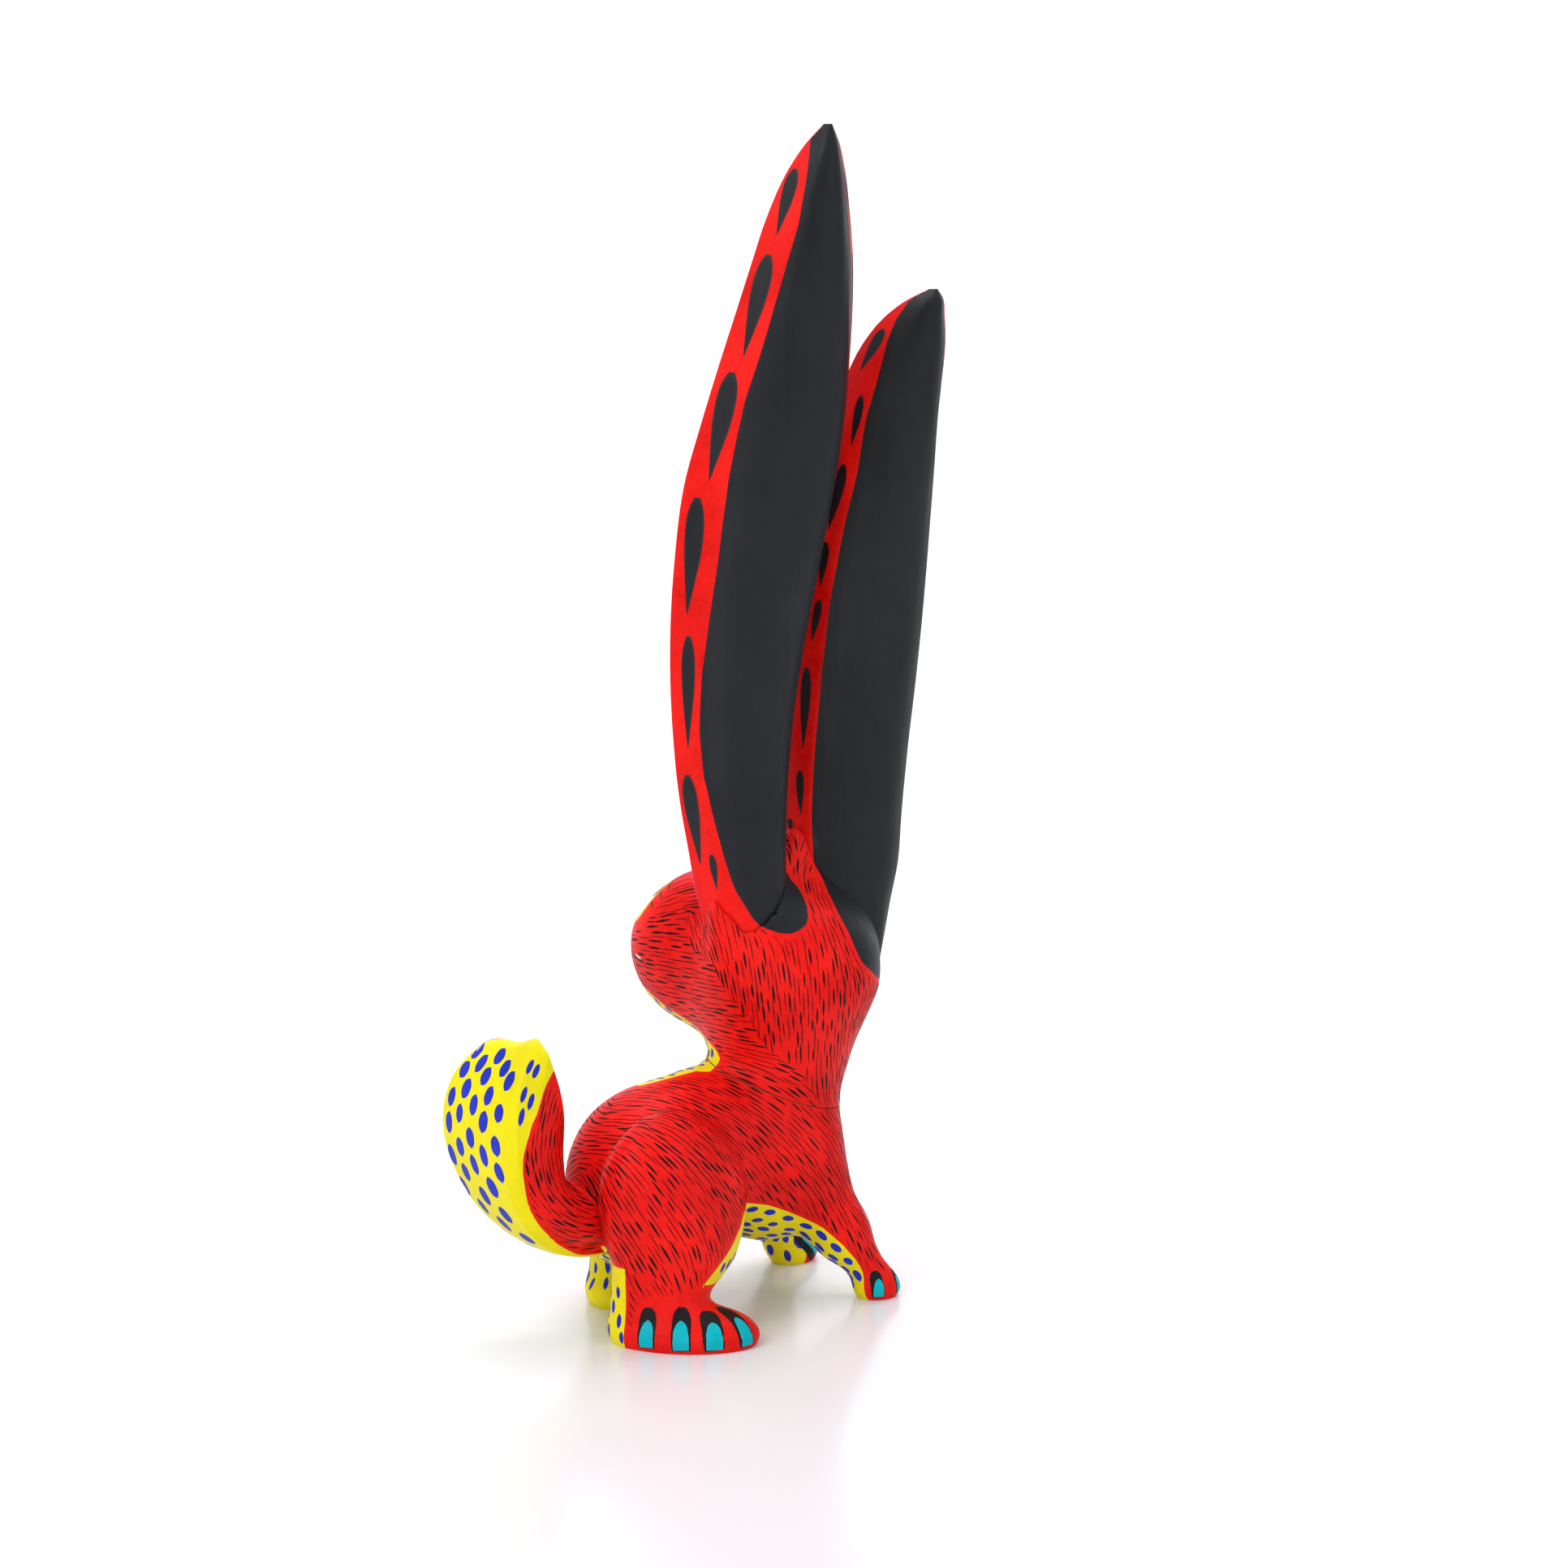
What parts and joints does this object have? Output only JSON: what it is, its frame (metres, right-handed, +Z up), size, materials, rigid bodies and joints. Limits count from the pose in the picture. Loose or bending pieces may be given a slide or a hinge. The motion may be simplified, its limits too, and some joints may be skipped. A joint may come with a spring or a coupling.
{
  "type": "alebrije figure",
  "caption": "Carved, brightly painted wooden rabbit figure with very tall pegged ears, a curled leaf-shaped tail and its head turned back over its shoulder.",
  "frame": {"origin": "on the ground under the middle of the figure's bounding box", "axes": "+X the way the body faces, +Y the rabbit's left, +Z up"},
  "size_m": [0.1814, 0.1056, 0.399],
  "materials": {
    "red_paint": "vivid red paint over carved wood, satin, with dark brushed fur strokes",
    "black_paint": "matt black paint over carved wood",
    "bare_wood": "bare sanded dowel"
  },
  "bodies": {
    "figure": {"body_block": "red_paint", "head_block": "red_paint", "tail": "red_paint", "neck_dowel_front": "bare_wood", "neck_dowel_rear": "bare_wood", "tail_dowel": "bare_wood"},
    "left_ear": {"left_ear": "black_paint", "left_ear_dowel": "bare_wood"},
    "right_ear": {"right_ear": "black_paint", "right_ear_dowel": "bare_wood"}
  },
  "joints": [
    {"name": "left_ear_lift", "type": "slide", "parent": "figure", "child": "left_ear", "axis": [-0.1569, 0.1177, 0.9806], "range_m": [0, 0.022]},
    {"name": "right_ear_lift", "type": "slide", "parent": "figure", "child": "right_ear", "axis": [0.2438, -0.1829, 0.9524], "range_m": [0, 0.022]}
  ]
}
